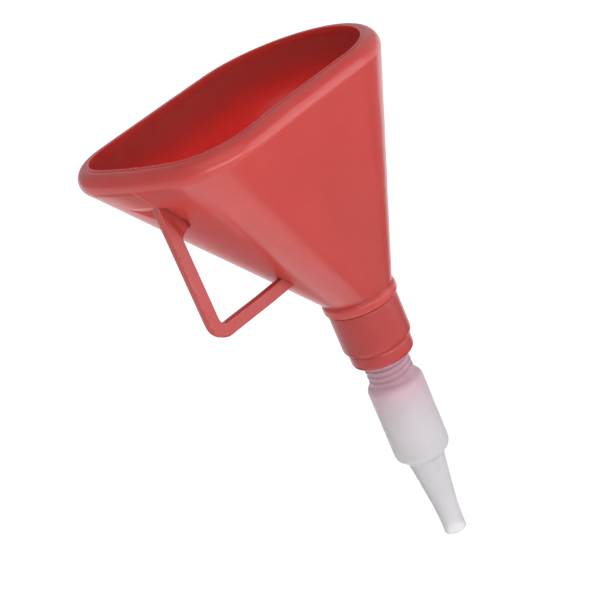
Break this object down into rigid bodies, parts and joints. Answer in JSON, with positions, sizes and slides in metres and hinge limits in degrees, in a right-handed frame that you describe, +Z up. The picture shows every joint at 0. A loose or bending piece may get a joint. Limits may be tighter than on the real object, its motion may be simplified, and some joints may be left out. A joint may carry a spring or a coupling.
{
  "type": "funnel",
  "caption": "Oblong-mouthed fuel funnel with a strap handle, a screw-on red collar and a screw-on translucent pouring nozzle.",
  "frame": {"origin": "on the outlet axis, at the flat underside of the collar's ring, where the funnel rests on a filler neck", "axes": "+Z up out of the mouth along the outlet axis, -X towards the handle, XZ is the plane of symmetry of the hopper"},
  "size_m": [0.223, 0.1492, 0.3655],
  "materials": {
    "red_shell": "satin red polyethylene, blow moulded",
    "red_cap": "semi-gloss red polyethylene, injection moulded",
    "milky_nozzle": "translucent natural polyethylene",
    "seal": "pale foam rubber"
  },
  "bodies": {
    "hopper": {"hopper": "red_shell", "handle": "red_shell"},
    "neck_gasket": {"neck_gasket": "seal"},
    "collar": {"collar": "red_cap"},
    "nozzle_washer": {"nozzle_washer": "seal"},
    "nozzle": {"nozzle": "milky_nozzle"}
  },
  "joints": [
    {"name": "collar_travel", "type": "slide", "parent": "hopper", "child": "neck_gasket", "axis": [0, 0, -1], "range_m": [0, 0.0271]},
    {"name": "collar_unscrew", "type": "hinge", "parent": "neck_gasket", "child": "collar", "pos_m": [0, 0, 0.03], "axis": [0, 0, -1], "range_deg": [0, 1620]},
    {"name": "nozzle_travel", "type": "slide", "parent": "collar", "child": "nozzle_washer", "axis": [0, 0, -1], "range_m": [0, 0.0276]},
    {"name": "nozzle_unscrew", "type": "hinge", "parent": "nozzle_washer", "child": "nozzle", "pos_m": [0, 0, -0.01], "axis": [0, 0, -1], "range_deg": [0, 2250]}
  ],
  "couplings": [
    {"joint": "collar_travel", "follows": "collar_unscrew", "m_per_rad": 0.00095493},
    {"joint": "nozzle_travel", "follows": "nozzle_unscrew", "m_per_rad": 0.00070028}
  ]
}
